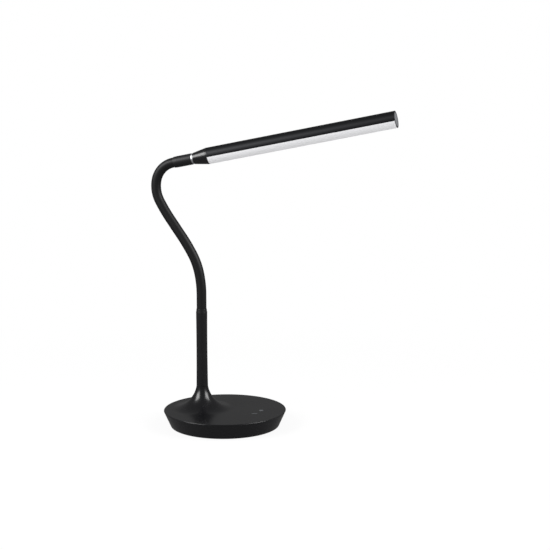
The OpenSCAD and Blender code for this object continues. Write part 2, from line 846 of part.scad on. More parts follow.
base_cover();
bottom_plate();
foot_pad();
base_weight();
plate_screws();
touch_board();
touch_pads();
touch_marks();
board_screws();
supply_lead();
inlet_housing();
inlet_pin();
stem_tube();
stem_stud();
stem_washer();
stem_nut();
neck_root_bush();
neck_head_bush();
for (k = SEGMENTS) {
    neck_sleeve(k);
    neck_core(k);
    neck_lead(k);
}
head_ferrule();
chrome_ring();
nose_cone();
nose_screw();
head_housing();
led_board();
leds();
led_leads();
diffuser();
end_cap();
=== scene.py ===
"""Gooseneck desk lamp: its finishes, its smooth outer pieces and its stage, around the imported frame."""

import json
import math

import bmesh
import bpy
from mathutils import Matrix, Vector


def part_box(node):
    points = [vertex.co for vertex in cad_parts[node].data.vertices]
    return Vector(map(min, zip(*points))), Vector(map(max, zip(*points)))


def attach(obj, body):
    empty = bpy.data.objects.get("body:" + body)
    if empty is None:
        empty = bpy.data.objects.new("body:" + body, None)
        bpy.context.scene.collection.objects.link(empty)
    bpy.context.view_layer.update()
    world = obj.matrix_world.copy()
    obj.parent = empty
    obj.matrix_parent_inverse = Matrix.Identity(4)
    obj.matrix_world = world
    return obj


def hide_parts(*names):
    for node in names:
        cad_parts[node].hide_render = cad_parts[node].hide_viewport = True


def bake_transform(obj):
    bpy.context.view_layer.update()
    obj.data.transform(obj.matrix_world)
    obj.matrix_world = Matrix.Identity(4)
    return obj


bl_info = {
    "name": "Gooseneck Desk Lamp",
    "version": (1, 0, 0),
    "blender": (4, 5, 0),
    "location": "3D View > Sidebar > Desk Lamp",
    "description": "Dresses a gooseneck desk lamp and sets up its stage",
    "category": "Object",
}

MM = 0.001
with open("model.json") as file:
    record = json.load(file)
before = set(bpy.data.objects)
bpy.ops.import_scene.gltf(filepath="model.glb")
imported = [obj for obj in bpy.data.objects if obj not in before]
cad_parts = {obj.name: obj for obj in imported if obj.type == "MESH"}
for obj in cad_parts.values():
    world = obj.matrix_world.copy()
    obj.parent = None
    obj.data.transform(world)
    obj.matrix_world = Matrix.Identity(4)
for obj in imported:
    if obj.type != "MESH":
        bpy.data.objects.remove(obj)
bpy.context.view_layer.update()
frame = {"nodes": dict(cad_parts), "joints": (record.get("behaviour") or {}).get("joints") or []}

AT_LEVEL = 0.01 * MM  # a vertex this near a level lies on it
AT_END = 0.05 * MM  # a vertex this near a round node's end lies on its end face
SAME_POINT = 0.0005 * MM  # vertices this near each other are one
ON_AXIS = 1e-7  # a smaller radius than this is a pole
STRAIGHT = 1e-6  # a smaller bend than this is none, in radians
PAST = 1 * MM  # how far a solid runs into the next one, or a hole past its wall
SLEEVE_GAP = 0.1 * MM  # clearance round the sleeve in the stem and the ferrule


# -------- sizes read from the frame

def node_points(node):
    """Each different vertex of a CAD node, once."""
    vertices = frame["nodes"][node].data.vertices
    return [Vector(p) for p in {tuple(round(c, 7) for c in v.co) for v in vertices}]


def middle(points):
    """The mean of some points."""
    return sum(points, Vector()) / len(points)


def spread(values):
    """The lowest and highest of some values."""
    values = list(values)
    return min(values), max(values)


class Turned:
    """A round CAD node's ends and radii, measured along an axis."""

    def __init__(self, node, origin, direction):
        points = [p - origin for p in node_points(node)]
        measured = [(p.dot(direction), (p - p.dot(direction) * direction).length) for p in points]
        self.start, self.end = spread(a for a, r in measured)
        self.start_bore, self.start_radius = spread(r for a, r in measured if a < self.start + AT_END)
        self.end_bore, self.end_radius = spread(r for a, r in measured if a > self.end - AT_END)
        self.measured = measured

    def skin(self, inside):
        """The outer skin's (along, radius) points from start to end, past a radius that is inside it."""
        levels = {}
        for a, r in self.measured:
            if r > inside:
                level = round(a / MM, 2)
                levels[level] = max(r, levels.get(level, 0))
        return [(level * MM, levels[level]) for level in sorted(levels)]


def bar_line():
    """A point on the light bar's axis, and the way the bar points, from its chrome ring and its board."""
    corners = sorted(node_points("led_board"), key=lambda p: p.x)
    half = len(corners) // 2
    direction = (middle(corners[half:]) - middle(corners[:half])).normalized()
    return middle(node_points("chrome_ring")), direction


UP = Vector((0, 0, 1))
ACROSS = Vector((0, 1, 0))
BAR_POINT, BAR_WAY = bar_line()
BAR_UP = BAR_WAY.cross(ACROSS)
if BAR_UP.z < 0:
    BAR_UP.negate()
STEM_AT = Vector((middle(node_points("stem_nut")).x, 0, 0))
STEM = Turned("stem_tube", STEM_AT, UP)
FERRULE = Turned("head_ferrule", BAR_POINT, BAR_WAY)
RING = Turned("chrome_ring", BAR_POINT, BAR_WAY)
CONE = Turned("nose_cone", BAR_POINT, BAR_WAY)
HOUSING = Turned("head_housing", BAR_POINT, BAR_WAY)
CAP_END = Turned("end_cap", BAR_POINT, BAR_WAY).end
SLEEVE_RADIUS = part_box("neck_sleeve_3")[1].y
PARTING = max((p - BAR_POINT).dot(BAR_UP) for p in node_points("led_board"))
TOP_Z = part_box("touch_marks")[1].z


# -------- settings

def linear(code):
    """An sRGB hex colour as linear red, green and blue."""
    parts = [int(code[i:i + 2], 16) / 255 for i in (1, 3, 5)]
    return [p / 12.92 if p <= 0.04045 else ((p + 0.055) / 1.055) ** 2.4 for p in parts]


def size(name, description, default):
    """A property that holds a size."""
    return bpy.props.FloatProperty(
        name=name, description=description, default=default, min=0, subtype="DISTANCE", unit="LENGTH"
    )


def colour(name, description, code):
    """A property that holds a colour, given as sRGB hex."""
    return bpy.props.FloatVectorProperty(
        name=name, description=description, default=linear(code), min=0, max=1, subtype="COLOR"
    )


def amount(name, description, default, low=0):
    """A property that holds a plain number."""
    return bpy.props.FloatProperty(name=name, description=description, default=default, min=low)


class LampSizes(bpy.types.PropertyGroup):
    """Sizes that the frame doesn't give."""

    rim_round: size("Rim rounding", "Rounding of the base's top rim", 0.7 * MM)
    foot_round: size("Foot rounding", "Rounding of the base's lower edge", 1.2 * MM)
    base_wall: size("Base wall", "Wall of the moulded base cover", 2.2 * MM)
    flare_radius: size("Flare radius", "Radius of the flared foot's concave curve", 32.5 * MM)
    boss_radius: size("Boss radius", "Radius of the boss inside the flared foot", 8.6 * MM)
    boss_bottom: size("Boss bottom", "Height of the boss's lower end", 10.5 * MM)
    screw_boss_radius: size("Screw boss radius", "Radius of the bosses for the plate screws", 3.8 * MM)
    post_radius: size("Post radius", "Radius of the touch board's posts", 2.6 * MM)
    rib_width: size("Rib width", "Thickness of the ribs inside the flared foot", 1.6 * MM)
    rib_drop: size("Rib drop", "How far the ribs reach below the base's ceiling", 2.2 * MM)
    window_width: size("Window width", "Width of the boss's window for the lead", 3 * MM)
    window_height: size("Window height", "Height of the boss's window for the lead", 7 * MM)
    hole_gap: size("Hole gap", "Clearance round the inlet's nose and past the screws' tips", 0.1 * MM)
    edge_break: size("Edge break", "Rounding of the turned metal edges", 0.25 * MM)
    shoulder_length: size("Shoulder length", "Length of the soft shoulder at the stem's top", 2.5 * MM)
    shoulder_depth: size("Shoulder depth", "How far the shoulder draws in", 0.2 * MM)
    ferrule_lip: size("Ferrule lip", "Length of the ferrule's tapered mouth", 3.4 * MM)
    dot_radius: size("Dot radius", "Radius of the round mark", 2.6 * MM)
    dot_stroke: size("Dot stroke", "Width of the round mark's line", 0.9 * MM)
    print_rise: size("Print rise", "How far the marks stand above the base", 0.02 * MM)
    cone_land: size("Cone land", "Length of the round land at the cone's wide end", 2.2 * MM)
    sleeve_wall: size("Sleeve wall", "Wall of the silicone sleeve", 1.8 * MM)
    sleeve_inset: size("Sleeve inset", "How far the sleeve enters the stem and the ferrule", 4 * MM)
    housing_wall: size("Housing wall", "Wall of the aluminium housing", 1.8 * MM)
    cap_rim: size("Cap rim", "Width of the end cap's black rim", 1.9 * MM)
    diffuser_wall: size("Diffuser wall", "Wall of the diffuser", 1.4 * MM)


class LampColours(bpy.types.PropertyGroup):
    """Colours of the lamp's finishes."""

    cover: colour("Cover", "Satin black ABS of the base and the cone", "#101012")
    paint: colour("Paint", "Satin black paint of the stem and the ferrule", "#111113")
    sleeve: colour("Sleeve", "Black silicone", "#131314")
    housing: colour("Housing", "Black anodising", "#16171a")
    diffuser: colour("Diffuser", "Opal polycarbonate", "#d3d3d5")
    chrome: colour("Chrome", "Chrome plating", "#e4e5e8")
    silver: colour("Silver", "Bright end cap", "#d6d8dc")
    print: colour("Print", "Grey printed marks", "#55575b")


class LampStage(bpy.types.PropertyGroup):
    """Camera and lights."""

    lens: amount("Lens", "Focal length on a 36 mm sensor, in millimetres", 85, low=10)
    left_power: amount("Left light", "Power of the large soft box on the left, in watts", 25)
    right_power: amount("Right light", "Power of the large soft box on the right, in watts", 23)
    sky: amount("Sky", "Brightness of the even light all round", 0.48)
    surround: amount("Surround", "Brightness of the grey cloth that only glossy surfaces show", 0.16)


# -------- finishes
#
# Moulded grain, die lines and polishing marks are finer on the real pieces, and are drawn as coarse here as
# they need to be to show. Orange peel and the slow drift of the gloss have their real sizes.

def add_node(tree, kind, inputs=None, **settings):
    """Adds a node with its settings, and links or sets its inputs by name or by number."""
    node = tree.nodes.new(kind)
    for name, value in settings.items():
        setattr(node, name, value)
    for name, value in (inputs or {}).items():
        if isinstance(value, bpy.types.NodeSocket):
            tree.links.new(value, node.inputs[name])
        else:
            node.inputs[name].default_value = value
    return node


def start_material(name):
    """A new material and its empty node tree."""
    material = bpy.data.materials.new(name)
    material.use_nodes = True
    material.node_tree.nodes.clear()
    return material, material.node_tree


def end_material(material, shader):
    """Gives a material its shader, and gives the finished material back."""
    add_node(material.node_tree, "ShaderNodeOutputMaterial", {"Surface": shader.outputs[0]})
    return material


def rgba(values):
    """A colour with its alpha."""
    return (*values, 1)


def grained(tree, size_mm, detail, strength, depth_mm):
    """The normal of a surface whose even grain has a real size and depth."""
    place = add_node(tree, "ShaderNodeTexCoord").outputs["Object"]
    grain = add_node(tree, "ShaderNodeTexNoise", {
        "Vector": place, "Scale": 1 / (size_mm * MM), "Detail": detail,
    })
    bump = add_node(tree, "ShaderNodeBump", {
        "Height": grain.outputs["Fac"], "Strength": strength, "Distance": depth_mm * MM,
    })
    return bump.outputs["Normal"]


def uneven(tree, size_mm, detail, low, high):
    """A roughness that drifts from low to high over patches of a real size."""
    place = add_node(tree, "ShaderNodeTexCoord").outputs["Object"]
    patches = add_node(tree, "ShaderNodeTexNoise", {
        "Vector": place, "Scale": 1 / (size_mm * MM), "Detail": detail,
    })
    rough = add_node(tree, "ShaderNodeMapRange", {
        "Value": patches.outputs["Fac"], "To Min": low, "To Max": high,
    })
    return rough.outputs["Result"]


def satin_abs(name, base, roughness, specular=0.5):
    """Injection-moulded ABS from a spark-eroded tool: fine even grain that softens each reflection."""
    material, tree = start_material(name)
    shader = add_node(tree, "ShaderNodeBsdfPrincipled", {
        "Base Color": rgba(base), "IOR": 1.53, "Specular IOR Level": specular,
        "Normal": grained(tree, size_mm=0.35, detail=2.0, strength=0.12, depth_mm=0.02),
        "Roughness": uneven(tree, size_mm=30, detail=3.0, low=roughness - 0.03, high=roughness + 0.03),
    })
    return end_material(material, shader)


def satin_paint(name, base, roughness, specular=0.5):
    """Powder-coated steel: satin, with the slight orange peel that a baked coat has."""
    material, tree = start_material(name)
    shader = add_node(tree, "ShaderNodeBsdfPrincipled", {
        "Base Color": rgba(base), "Roughness": roughness, "IOR": 1.5, "Specular IOR Level": specular,
        "Normal": grained(tree, size_mm=1.1, detail=1.0, strength=0.1, depth_mm=0.03),
    })
    return end_material(material, shader)


def silicone(name, base):
    """Extruded silicone rubber: a dry, even surface with a broad soft sheen."""
    material, tree = start_material(name)
    shader = add_node(tree, "ShaderNodeBsdfPrincipled", {
        "Base Color": rgba(base), "IOR": 1.41, "Specular IOR Level": 0.34,
        "Normal": grained(tree, size_mm=0.25, detail=2.0, strength=0.15, depth_mm=0.02),
        "Roughness": uneven(tree, size_mm=14, detail=2.0, low=0.42, high=0.52),
    })
    return end_material(material, shader)


def anodised_extrusion(name, base):
    """Black anodised aluminium extrusion: a broad metallic sheen with faint die lines along its length."""
    material, tree = start_material(name)
    place = add_node(tree, "ShaderNodeTexCoord").outputs["Object"]
    turned = add_node(tree, "ShaderNodeMapping", {
        "Vector": place, "Rotation": (0, math.atan2(BAR_WAY.z, BAR_WAY.x), 0),
    })
    line_mm, run_mm = 0.5, 60
    across = 1 / (line_mm * MM)
    stretched = add_node(tree, "ShaderNodeMapping", {
        "Vector": turned.outputs["Vector"], "Scale": (1 / (run_mm * MM), across, across),
    })
    lines = add_node(tree, "ShaderNodeTexNoise", {
        "Vector": stretched.outputs["Vector"], "Scale": 1.0, "Detail": 3.0,
    })
    bump = add_node(tree, "ShaderNodeBump", {
        "Height": lines.outputs["Fac"], "Strength": 0.08, "Distance": 0.02 * MM,
    })
    rough = add_node(tree, "ShaderNodeMapRange", {
        "Value": lines.outputs["Fac"], "To Min": 0.42, "To Max": 0.5,
    })
    shader = add_node(tree, "ShaderNodeBsdfPrincipled", {
        "Base Color": rgba(base), "Metallic": 0.6, "Roughness": rough.outputs["Result"],
        "Normal": bump.outputs["Normal"],
    })
    return end_material(material, shader)


def opal_polycarbonate(name, base):
    """Opal polycarbonate: milky white all through, with a dull extruded skin."""
    material, tree = start_material(name)
    shader = add_node(tree, "ShaderNodeBsdfPrincipled", {
        "Base Color": rgba(base), "IOR": 1.58,
        "Roughness": uneven(tree, size_mm=25, detail=2.0, low=0.42, high=0.5),
        "Subsurface Weight": 0.15, "Subsurface Radius": (1.5 * MM, 1.5 * MM, 1.5 * MM),
        "Subsurface Scale": 1.0,
    })
    return end_material(material, shader)


def plated_metal(name, base, low, high):
    """Plated metal: a mirror finish that very fine polishing marks blur a little."""
    material, tree = start_material(name)
    shader = add_node(tree, "ShaderNodeBsdfPrincipled", {
        "Base Color": rgba(base), "Metallic": 1.0,
        "Roughness": uneven(tree, size_mm=0.4, detail=3.0, low=low, high=high),
    })
    return end_material(material, shader)


def plain_plastic(name, base, roughness, grain_mm=0.5):
    """Plastic, rubber or ink that stays out of sight or is very small: even, with a fine grain."""
    material, tree = start_material(name)
    shader = add_node(tree, "ShaderNodeBsdfPrincipled", {
        "Base Color": rgba(base), "Roughness": roughness, "IOR": 1.5,
        "Normal": grained(tree, size_mm=grain_mm, detail=2.0, strength=0.2, depth_mm=0.03),
    })
    return end_material(material, shader)


# -------- shapes

def mesh_object(name, points, faces, edges=()):
    """A new object at the origin, with a mesh of its own."""
    mesh = bpy.data.meshes.new(name)
    mesh.from_pydata([tuple(p) for p in points], edges, faces)
    mesh.validate()
    piece = bpy.data.objects.new(name, mesh)
    bpy.context.scene.collection.objects.link(piece)
    return piece


def face_out(mesh, sources=()):
    """Joins more meshes to a closed one, merges its doubles and turns its faces outwards."""
    work = bmesh.new()
    for source in (mesh, *sources):
        work.from_mesh(source)
    bmesh.ops.remove_doubles(work, verts=work.verts, dist=SAME_POINT)
    bmesh.ops.recalc_face_normals(work, faces=work.faces)
    work.to_mesh(mesh)
    work.free()


def keep_result(piece):
    """Makes what a piece's modifiers give its plain mesh, and takes the modifiers off."""
    graph = bpy.context.evaluated_depsgraph_get()
    piece.data = bpy.data.meshes.new_from_object(piece.evaluated_get(graph))
    piece.modifiers.clear()


def combine(piece, solids, operation):
    """Joins closed solids to a piece, or cuts them out of it. The solids stay apart from each other."""
    tool = solids[0]
    face_out(tool.data, [solid.data for solid in solids[1:]])
    face_out(piece.data)
    modifier = piece.modifiers.new(operation.title(), "BOOLEAN")
    modifier.object, modifier.operation, modifier.solver = tool, operation, "EXACT"
    keep_result(piece)
    for solid in solids:
        bpy.data.objects.remove(solid)


def finish_piece(piece, material, body=None, node=None, sharp=35):
    """Finishes a closed mesh: faces, shading, slot and material, then its body and the node it is for."""
    face_out(piece.data)
    piece.data.shade_smooth()
    piece.data.set_sharp_from_angle(angle=math.radians(sharp))
    piece.data.materials.clear()
    piece.data.materials.append(material)
    if body:
        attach(piece, body)
        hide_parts(node)


def arc(centre, radius, start, end, steps):
    """Points on an arc in a plane, with its angles in degrees."""
    angles = [math.radians(start + (end - start) * i / steps) for i in range(steps + 1)]
    return [(centre[0] + radius * math.cos(a), centre[1] + radius * math.sin(a)) for a in angles]


def rounded(corners, rounding, steps=5):
    """A closed outline of (along, radius) corners with each one rounded, apart from those on the axis.

    A corner may have a third value, its own rounding, and 0 leaves it as it is. A point just past each end
    of a rounding keeps its soft shading off the faces beside it.
    """
    most_of_side, guard, guard_limit = 0.4, 1.5, 0.45
    outline = []
    for i, corner in enumerate(corners):
        here = Vector(corner[:2])
        to_last = Vector(corners[i - 1][:2]) - here
        to_next = Vector(corners[(i + 1) % len(corners)][:2]) - here
        wanted = corner[2] if len(corner) > 2 else rounding
        if here.y < ON_AXIS or wanted == 0:
            outline.append(tuple(here))
            continue
        half = to_last.angle(to_next) / 2
        back = min(wanted / math.tan(half), most_of_side * to_last.length, most_of_side * to_next.length)
        radius = back * math.tan(half)
        inward = (to_last.normalized() + to_next.normalized()).normalized()
        centre = here + inward * radius / math.sin(half)
        first = here + to_last.normalized() * back - centre
        last = here + to_next.normalized() * back - centre
        turn = first.angle_signed(last)
        outline.append(tuple(here + to_last * min(guard * back / to_last.length, guard_limit)))
        for step in range(steps + 1):
            spoke = first.copy()
            spoke.rotate(Matrix.Rotation(-turn * step / steps, 2))
            outline.append(tuple(centre + spoke))
        outline.append(tuple(here + to_next * min(guard * back / to_next.length, guard_limit)))
    return outline


def skinned(name, rings):
    """A closed skin through rings of points, the last joined to the first. A ring of one point is a pole."""
    points, starts, faces = [], [], []
    for ring in rings:
        starts.append((len(points), len(ring)))
        points += ring
    segments = max(count for first, count in starts)
    for (first, count), (second, others) in zip(starts, starts[1:] + starts[:1]):
        for step in range(segments):
            after = (step + 1) % segments
            if count > 1 and others > 1:
                faces.append((first + step, first + after, second + after, second + step))
            elif count > 1:
                faces.append((first + step, first + after, second))
            elif others > 1:
                faces.append((first, second + after, second + step))
    return mesh_object(name, points, faces)


def round_angles(count):
    """Angles evenly round a circle, in radians."""
    return [2 * math.pi * step / count for step in range(count)]


def turned(name, outline, origin, direction, segments=96):
    """A solid of revolution: a closed outline of (along, radius) points, turned round an axis."""
    other = direction.cross(ACROSS)
    rings = []
    for along, radius in outline:
        centre = origin + along * direction
        angles = round_angles(1 if radius < ON_AXIS else segments)
        rings.append([centre + radius * (math.cos(a) * ACROSS + math.sin(a) * other) for a in angles])
    return skinned(name, rings)


def upright_plate(name, outline, thickness, place, angle):
    """A plate whose outline has (out, height) points, out from an upright axis at an angle in degrees."""
    out = Vector((math.cos(math.radians(angle)), math.sin(math.radians(angle)), 0))
    points = [
        place + far * out + height * UP + side * thickness / 2 * UP.cross(out)
        for side in (-1, 1) for far, height in outline
    ]
    count = len(outline)
    faces = [tuple(range(count)), tuple(range(2 * count - 1, count - 1, -1))]
    for i in range(count):
        after = (i + 1) % count
        faces.append((i, after, count + after, count + i))
    return mesh_object(name, points, faces)


def bar_extrusion(name, outer, inner, closed, start):
    """A wall between two outlines of (across, up) points, run to the bar's end with both ends broken."""
    edge, end = 0.12 * MM, HOUSING.end
    points, faces = [], []
    count = len(outer)
    broken = 1 - edge / HOUSING.end_radius
    layers = [(start, broken), (start + edge, 1), (end - edge, 1), (end, broken)]
    for along, scale in layers:
        for across, up in outer:
            points.append(BAR_POINT + along * BAR_WAY + scale * (across * ACROSS + up * BAR_UP))
        for across, up in inner:
            points.append(BAR_POINT + along * BAR_WAY + across * ACROSS + up * BAR_UP)
    last = len(layers) - 1
    pairs = [(i, (i + 1) % count) for i in range(count if closed else count - 1)]
    for layer in range(last):
        here, there = layer * 2 * count, (layer + 1) * 2 * count
        for a, b in pairs:
            faces.append((here + a, here + b, there + b, there + a))
            faces.append((here + count + b, here + count + a, there + count + a, there + count + b))
        if not closed:
            for a in (0, count - 1):
                faces.append((here + a, here + count + a, there + count + a, there + a))
    for layer in (0, last):
        here = layer * 2 * count
        for a, b in pairs:
            faces.append((here + a, here + b, here + count + b, here + count + a))
    return mesh_object(name, points, faces)


# -------- the gooseneck's centre line

class Run:
    """A straight or evenly bent stretch of the centre line, in the XZ plane."""

    def __init__(self, start, heading, length, bend):
        self.start, self.heading, self.length, self.bend = start, heading, length, bend

    def at(self, s):
        """The point and the heading at distance s along the run."""
        if abs(self.bend) < STRAIGHT:
            step = Vector((math.cos(self.heading), 0, math.sin(self.heading))) * s
            return self.start + step, self.heading
        radius = self.length / self.bend
        ahead = self.heading + self.bend * s / self.length
        step = Vector((
            radius * (math.sin(ahead) - math.sin(self.heading)),
            0,
            -radius * (math.cos(ahead) - math.cos(self.heading)),
        ))
        return self.start + step, ahead


def run_to(start, heading, end):
    """The arc that leaves start with a heading and passes through end."""
    chord = end - start
    off = math.atan2(chord.z, chord.x) - heading
    off = (off + math.pi) % (2 * math.pi) - math.pi
    if abs(off) < STRAIGHT:
        return Run(start, heading, chord.length, 0.0)
    return Run(start, heading, chord.length * off / math.sin(off), 2 * off)


def neck_runs():
    """The stretches from the stem's top through each joint to the ferrule."""
    start, heading = STEM_AT + STEM.end * UP, math.pi / 2
    runs = []
    for joint in frame["joints"]:
        runs.append(run_to(start, heading, Vector(joint["pos_m"])))
        start, heading = runs[-1].at(runs[-1].length)
    bend = math.atan2(BAR_WAY.z, BAR_WAY.x) - heading
    reach = Run(start, heading, 1.0, bend).at(1.0)[0] - start
    length = -(start - BAR_POINT).dot(BAR_UP) / reach.dot(BAR_UP)
    runs.append(Run(start, heading, length, bend))
    start, heading = runs[-1].at(length)
    runs.append(Run(start, heading, (BAR_POINT + FERRULE.start * BAR_WAY - start).length, 0.0))
    return runs


# The neck's stretches, each joint's distance from the stem's top along them, and their whole length.
RUNS = neck_runs()
STATIONS = [sum(run.length for run in RUNS[:i + 1]) for i in range(len(frame["joints"]))]
NECK_LENGTH = sum(run.length for run in RUNS)


def on_neck(s):
    """The point and heading at distance s from the stem's top. It runs on straight past both ends."""
    for run in RUNS[:-1]:
        if s < run.length:
            return run.at(s)
        s -= run.length
    return RUNS[-1].at(s)


def neck_line(name, start, end, step):
    """The centre line between two distances as a chain of edges, with one spare edge past each end."""
    count = max(2, round((end - start) / step))
    gap = (end - start) / count
    points = [on_neck(start + i * gap)[0] for i in range(-1, count + 2)]
    return mesh_object(name, points, [], [(i, i + 1) for i in range(len(points) - 1)])


# -------- the sleeve's tree

def sleeve_tree():
    """Sweeps a round skin along a centre line, then drops the spare ring at each end."""
    tree = bpy.data.node_groups.new("Sleeve", "GeometryNodeTree")
    for name, way, kind in (
        ("Geometry", "INPUT", "Geometry"), ("Geometry", "OUTPUT", "Geometry"), ("Radius", "INPUT", "Float"),
        ("Sides", "INPUT", "Int"), ("Material", "INPUT", "Material"),
    ):
        tree.interface.new_socket(name, in_out=way, socket_type="NodeSocket" + kind)
    given = add_node(tree, "NodeGroupInput")
    line = add_node(tree, "GeometryNodeMeshToCurve", {"Mesh": given.outputs["Geometry"]})
    index = add_node(tree, "GeometryNodeInputIndex").outputs["Index"]
    whole = add_node(tree, "GeometryNodeAttributeDomainSize", {
        "Geometry": line.outputs["Curve"],
    }, component="CURVE")
    last = add_node(tree, "ShaderNodeMath", {0: whole.outputs["Point Count"], 1: 1.0}, operation="SUBTRACT")
    at_start, at_end = [
        add_node(tree, "FunctionNodeCompare", {2: index, 3: end}, data_type="INT", operation="EQUAL")
        for end in (0, last.outputs["Value"])
    ]
    spare = add_node(tree, "FunctionNodeBooleanMath", {
        0: at_start.outputs["Result"], 1: at_end.outputs["Result"],
    }, operation="OR")
    kept = add_node(tree, "GeometryNodeStoreNamedAttribute", {
        "Geometry": line.outputs["Curve"], "Name": "spare", "Value": spare.outputs["Boolean"],
    }, data_type="BOOLEAN", domain="POINT")
    ring = add_node(tree, "GeometryNodeCurvePrimitiveCircle", {
        "Resolution": given.outputs["Sides"], "Radius": given.outputs["Radius"],
    })
    skin = add_node(tree, "GeometryNodeCurveToMesh", {
        "Curve": kept.outputs["Geometry"], "Profile Curve": ring.outputs["Curve"],
    })
    marked = add_node(tree, "GeometryNodeInputNamedAttribute", {"Name": "spare"}, data_type="BOOLEAN")
    trimmed = add_node(tree, "GeometryNodeDeleteGeometry", {
        "Geometry": skin.outputs["Mesh"], "Selection": marked.outputs["Attribute"],
    }, domain="POINT")
    bare = add_node(tree, "GeometryNodeRemoveAttribute", {
        "Geometry": trimmed.outputs["Geometry"], "Name": "spare",
    })
    real = add_node(tree, "GeometryNodeRealizeInstances", {"Geometry": bare.outputs["Geometry"]})
    dressed = add_node(tree, "GeometryNodeSetMaterial", {
        "Geometry": real.outputs["Geometry"], "Material": given.outputs["Material"],
    })
    add_node(tree, "NodeGroupOutput", {"Geometry": dressed.outputs["Geometry"]})
    return tree


def grown(piece, tree, values, wall):
    """Runs a tree on a piece with the given input values, and gives its skin a wall inwards."""
    modifier = piece.modifiers.new(tree.name, "NODES")
    modifier.node_group = tree
    for item in tree.interface.items_tree:
        if item.in_out == "INPUT" and item.name in values:
            modifier[item.identifier] = values[item.name]
    thick = piece.modifiers.new("Wall", "SOLIDIFY")
    thick.thickness, thick.offset = wall, -1
    keep_result(piece)


# -------- pieces of the base

def upright_screws(node, reach):
    """The place of each of a node's upright screws, at its tip, and the radius of its shank."""
    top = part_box(node)[1].z
    groups = []
    for p in node_points(node):
        if p.z > top - AT_LEVEL:
            near = [group for group in groups if (group[0] - p).length < reach]
            if near:
                near[0].append(p)
            else:
                groups.append([p])
    return [(middle(group), (group[0] - middle(group)).length) for group in groups]


def inside_of_cover(piece, sizes, ceiling, flare):
    """Adds the ribs and bosses under the base's top, and cuts the holes for screws, inlet and lead."""
    weight_top, board_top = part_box("base_weight")[1].z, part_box("touch_board")[1].z
    bosses, holes = [], []

    # Four ribs, from inside the boss out to the middle of the flare's wall
    inner, low = sizes.boss_radius - PAST, ceiling - sizes.rib_drop
    middle_of_wall = sizes.flare_radius + sizes.base_wall / 2
    steepest = math.degrees(math.acos((flare[0] - inner) / middle_of_wall))
    slope = arc(flare, middle_of_wall, 180 + steepest, 270, steps=12)
    rib = [(inner, low), (flare[0], low), *reversed(slope)]
    for angle in (45, 135, 225, 315):
        bosses.append(upright_plate("rib", rib, sizes.rib_width, STEM_AT, angle))

    # The window for the lead
    sill = weight_top + 1 * MM
    far, head = sizes.boss_radius + PAST, sill + sizes.window_height
    window = [(0, sill), (far, sill), (far, head), (0, head)]
    holes.append(upright_plate("window", window, sizes.window_width, STEM_AT, angle=0))

    # Bosses and posts with their screw holes. Points within reach of each other are one screw's.
    for node, reach, radius, foot in (
        ("plate_screws", 8 * MM, sizes.screw_boss_radius, weight_top),
        ("board_screws", 4 * MM, sizes.post_radius, board_top),
    ):
        for tip, shank in upright_screws(node, reach):
            place = Vector((tip.x, tip.y, 0))
            root, far = ceiling + sizes.base_wall / 2, tip.z + sizes.hole_gap
            outline = [(foot, 0), (foot, radius), (root, radius), (root, 0)]
            bosses.append(turned("boss", outline, place, UP, segments=48))
            bore, start = shank + sizes.hole_gap / 2, foot - PAST
            outline = [(start, 0), (start, bore), (far, bore), (far, 0)]
            holes.append(turned("hole", outline, place, UP, segments=32))

    # The inlet's round hole
    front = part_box("inlet_housing")[0].x
    nose = [p for p in node_points("inlet_housing") if p.x < front + AT_LEVEL]
    radius = max((p - middle(nose)).length for p in nose) + sizes.hole_gap
    reach = 6 * MM
    outline = [(-reach, 0), (-reach, radius), (reach, radius), (reach, 0)]
    holes.append(turned("hole", outline, middle(nose), Vector((1, 0, 0)), segments=64))
    combine(piece, bosses, "UNION")
    combine(piece, holes, "DIFFERENCE")


